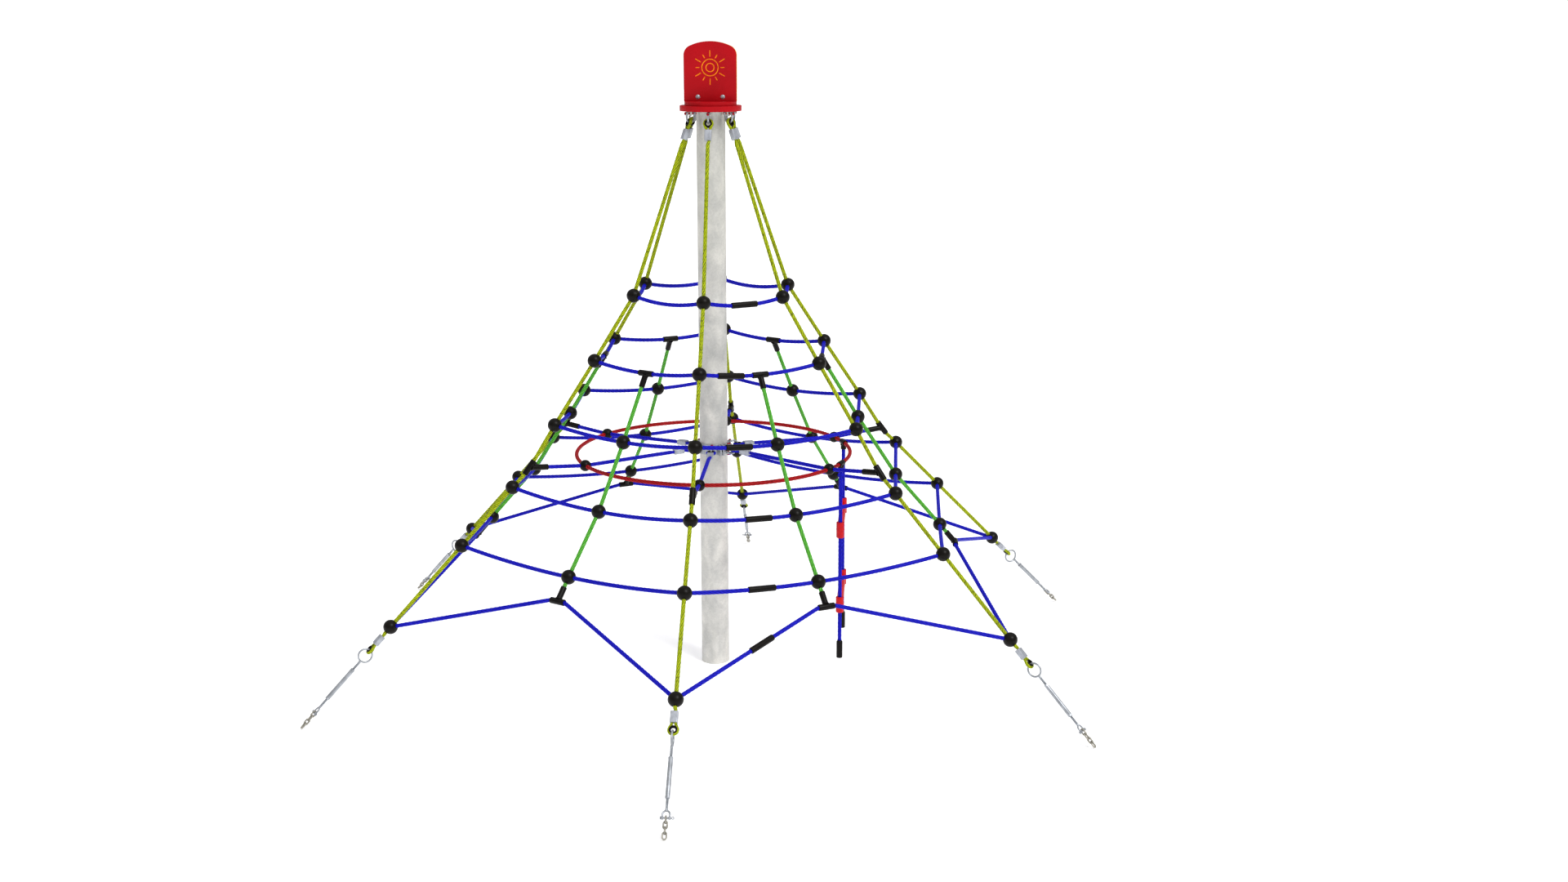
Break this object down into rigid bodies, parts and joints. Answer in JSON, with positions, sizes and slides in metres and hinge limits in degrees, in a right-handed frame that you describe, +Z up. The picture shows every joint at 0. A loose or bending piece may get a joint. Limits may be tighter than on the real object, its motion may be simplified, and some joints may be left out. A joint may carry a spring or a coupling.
{
  "type": "rope net climber",
  "caption": "Rope pyramid climber: a tubular mast with a red crown holds a stranded rope net with ball connectors, a hoop and a ladder, staked by chain anchors.",
  "frame": {"origin": "centre of the mast's bottom face, at ground level", "axes": "+Z up the mast, -Y the way the crown panel faces, +X towards the ladder"},
  "size_m": [3.0066, 3.4682, 2.5515],
  "materials": {
    "galvanised_steel": "mottled hot-dip zinc",
    "zinc_plated": "bright zinc",
    "anchor_steel": "bright zinc",
    "chain_steel": "dull zinc",
    "aluminium": "pressed satin",
    "red_sheet": "matt polyethylene sheet",
    "red_moulding": "moulded",
    "black_plastic": "satin moulded",
    "main_rope": "stranded rope with dark flecks",
    "infill_rope": "stranded rope",
    "blue_rope": "stranded rope",
    "hoop_rope": "stranded rope"
  },
  "bodies": {
    "net": {"mast": "galvanised_steel", "head_flange": "galvanised_steel", "cap_disc": "red_sheet", "cap_step_disc": "red_sheet", "crown_panel": "red_sheet", "crown_brackets": "zinc_plated", "crown_bolts": "zinc_plated", "bracket_screws": "zinc_plated", "shackle_bows": "zinc_plated", "shackle_pins": "zinc_plated", "rope_thimbles": "black_plastic", "rope_ferrules": "aluminium", "main_ropes": "main_rope", "main_balls": "black_plastic", "infill_ropes": "infill_rope", "infill_balls": "black_plastic", "infill_tees": "black_plastic", "hem_tees": "black_plastic", "spoke_tees": "black_plastic", "ring_rope_1": "blue_rope", "ring_rope_2": "blue_rope", "ring_rope_3": "blue_rope", "ring_rope_4": "blue_rope", "ring_rope_5": "blue_rope", "hem_rope": "blue_rope", "splice_sleeves": "black_plastic", "spoke_ropes": "blue_rope", "mast_collar": "galvanised_steel", "collar_bolts": "zinc_plated", "hoop_rope": "hoop_rope", "hoop_balls": "black_plastic", "ladder_tees": "black_plastic"},
    "ladder": {"ladder_rope_left": "blue_rope", "ladder_rope_right": "blue_rope", "ladder_rungs": "red_moulding", "ladder_end_caps": "black_plastic"},
    "anchor_eye_1": {"anchor_eye_1": "anchor_steel"},
    "anchor_sleeve_1": {"anchor_sleeve_1": "anchor_steel"},
    "anchor_fork_1": {"anchor_fork_1": "anchor_steel"},
    "anchor_chain_1": {"anchor_chain_1": "chain_steel"},
    "anchor_eye_2": {"anchor_eye_2": "anchor_steel"},
    "anchor_sleeve_2": {"anchor_sleeve_2": "anchor_steel"},
    "anchor_fork_2": {"anchor_fork_2": "anchor_steel"},
    "anchor_chain_2": {"anchor_chain_2": "chain_steel"},
    "anchor_eye_3": {"anchor_eye_3": "anchor_steel"},
    "anchor_sleeve_3": {"anchor_sleeve_3": "anchor_steel"},
    "anchor_fork_3": {"anchor_fork_3": "anchor_steel"},
    "anchor_chain_3": {"anchor_chain_3": "chain_steel"},
    "anchor_eye_4": {"anchor_eye_4": "anchor_steel"},
    "anchor_sleeve_4": {"anchor_sleeve_4": "anchor_steel"},
    "anchor_fork_4": {"anchor_fork_4": "anchor_steel"},
    "anchor_chain_4": {"anchor_chain_4": "chain_steel"},
    "anchor_eye_5": {"anchor_eye_5": "anchor_steel"},
    "anchor_sleeve_5": {"anchor_sleeve_5": "anchor_steel"},
    "anchor_fork_5": {"anchor_fork_5": "anchor_steel"},
    "anchor_chain_5": {"anchor_chain_5": "chain_steel"},
    "anchor_eye_6": {"anchor_eye_6": "anchor_steel"},
    "anchor_sleeve_6": {"anchor_sleeve_6": "anchor_steel"},
    "anchor_fork_6": {"anchor_fork_6": "anchor_steel"},
    "anchor_chain_6": {"anchor_chain_6": "chain_steel"}
  },
  "joints": [
    {"name": "ladder_swing", "type": "hinge", "parent": "net", "child": "ladder", "pos_m": [0.52785, 0, 0.877], "axis": [0, 1, 0], "range_deg": [-30, 30]},
    {"name": "anchor_swing_1", "type": "hinge", "parent": "net", "child": "anchor_eye_1", "pos_m": [0, -1.47344, 0.25683], "axis": [-1, 0, 0], "range_deg": [0, 60]},
    {"name": "sleeve_turn_1", "type": "hinge", "parent": "anchor_eye_1", "child": "anchor_sleeve_1", "pos_m": [0, -1.52229, 0.20952], "axis": [0, -0.7184, -0.6957], "range_deg": [-3600, 3600]},
    {"name": "fork_slide_1", "type": "slide", "parent": "anchor_eye_1", "child": "anchor_fork_1", "axis": [0, -0.7184, -0.6957], "range_m": [-0.03, 0.03]},
    {"name": "chain_swing_1", "type": "hinge", "parent": "anchor_fork_1", "child": "anchor_chain_1", "pos_m": [0, -1.67746, 0.05926], "axis": [-1, 0, 0], "range_deg": [0, 80]},
    {"name": "anchor_swing_2", "type": "hinge", "parent": "net", "child": "anchor_eye_2", "pos_m": [1.27604, -0.73672, 0.25683], "axis": [-0.5, -0.866, 0], "range_deg": [0, 60]},
    {"name": "sleeve_turn_2", "type": "hinge", "parent": "anchor_eye_2", "child": "anchor_sleeve_2", "pos_m": [1.31835, -0.76115, 0.20952], "axis": [0.6221, -0.3592, -0.6957], "range_deg": [-3600, 3600]},
    {"name": "fork_slide_2", "type": "slide", "parent": "anchor_eye_2", "child": "anchor_fork_2", "axis": [0.6221, -0.3592, -0.6957], "range_m": [-0.03, 0.03]},
    {"name": "chain_swing_2", "type": "hinge", "parent": "anchor_fork_2", "child": "anchor_chain_2", "pos_m": [1.45273, -0.83873, 0.05926], "axis": [-0.5, -0.866, 0], "range_deg": [0, 80]},
    {"name": "anchor_swing_3", "type": "hinge", "parent": "net", "child": "anchor_eye_3", "pos_m": [1.27604, 0.73672, 0.25683], "axis": [0.5, -0.866, 0], "range_deg": [0, 60]},
    {"name": "sleeve_turn_3", "type": "hinge", "parent": "anchor_eye_3", "child": "anchor_sleeve_3", "pos_m": [1.31835, 0.76115, 0.20952], "axis": [0.6221, 0.3592, -0.6957], "range_deg": [-3600, 3600]},
    {"name": "fork_slide_3", "type": "slide", "parent": "anchor_eye_3", "child": "anchor_fork_3", "axis": [0.6221, 0.3592, -0.6957], "range_m": [-0.03, 0.03]},
    {"name": "chain_swing_3", "type": "hinge", "parent": "anchor_fork_3", "child": "anchor_chain_3", "pos_m": [1.45273, 0.83873, 0.05926], "axis": [0.5, -0.866, 0], "range_deg": [0, 80]},
    {"name": "anchor_swing_4", "type": "hinge", "parent": "net", "child": "anchor_eye_4", "pos_m": [0, 1.47344, 0.25683], "axis": [1, 0, 0], "range_deg": [0, 60]},
    {"name": "sleeve_turn_4", "type": "hinge", "parent": "anchor_eye_4", "child": "anchor_sleeve_4", "pos_m": [0, 1.52229, 0.20952], "axis": [0, 0.7184, -0.6957], "range_deg": [-3600, 3600]},
    {"name": "fork_slide_4", "type": "slide", "parent": "anchor_eye_4", "child": "anchor_fork_4", "axis": [0, 0.7184, -0.6957], "range_m": [-0.03, 0.03]},
    {"name": "chain_swing_4", "type": "hinge", "parent": "anchor_fork_4", "child": "anchor_chain_4", "pos_m": [0, 1.67746, 0.05926], "axis": [1, 0, 0], "range_deg": [0, 80]},
    {"name": "anchor_swing_5", "type": "hinge", "parent": "net", "child": "anchor_eye_5", "pos_m": [-1.27604, 0.73672, 0.25683], "axis": [0.5, 0.866, 0], "range_deg": [0, 60]},
    {"name": "sleeve_turn_5", "type": "hinge", "parent": "anchor_eye_5", "child": "anchor_sleeve_5", "pos_m": [-1.31835, 0.76115, 0.20952], "axis": [-0.6221, 0.3592, -0.6957], "range_deg": [-3600, 3600]},
    {"name": "fork_slide_5", "type": "slide", "parent": "anchor_eye_5", "child": "anchor_fork_5", "axis": [-0.6221, 0.3592, -0.6957], "range_m": [-0.03, 0.03]},
    {"name": "chain_swing_5", "type": "hinge", "parent": "anchor_fork_5", "child": "anchor_chain_5", "pos_m": [-1.45273, 0.83873, 0.05926], "axis": [0.5, 0.866, 0], "range_deg": [0, 80]},
    {"name": "anchor_swing_6", "type": "hinge", "parent": "net", "child": "anchor_eye_6", "pos_m": [-1.27604, -0.73672, 0.25683], "axis": [-0.5, 0.866, 0], "range_deg": [0, 60]},
    {"name": "sleeve_turn_6", "type": "hinge", "parent": "anchor_eye_6", "child": "anchor_sleeve_6", "pos_m": [-1.31835, -0.76115, 0.20952], "axis": [-0.6221, -0.3592, -0.6957], "range_deg": [-3600, 3600]},
    {"name": "fork_slide_6", "type": "slide", "parent": "anchor_eye_6", "child": "anchor_fork_6", "axis": [-0.6221, -0.3592, -0.6957], "range_m": [-0.03, 0.03]},
    {"name": "chain_swing_6", "type": "hinge", "parent": "anchor_fork_6", "child": "anchor_chain_6", "pos_m": [-1.45273, -0.83873, 0.05926], "axis": [-0.5, 0.866, 0], "range_deg": [0, 80]}
  ],
  "couplings": [
    {"joint": "fork_slide_1", "follows": "sleeve_turn_1", "m_per_rad": 0.000477},
    {"joint": "fork_slide_2", "follows": "sleeve_turn_2", "m_per_rad": 0.000477},
    {"joint": "fork_slide_3", "follows": "sleeve_turn_3", "m_per_rad": 0.000477},
    {"joint": "fork_slide_4", "follows": "sleeve_turn_4", "m_per_rad": 0.000477},
    {"joint": "fork_slide_5", "follows": "sleeve_turn_5", "m_per_rad": 0.000477},
    {"joint": "fork_slide_6", "follows": "sleeve_turn_6", "m_per_rad": 0.000477}
  ]
}
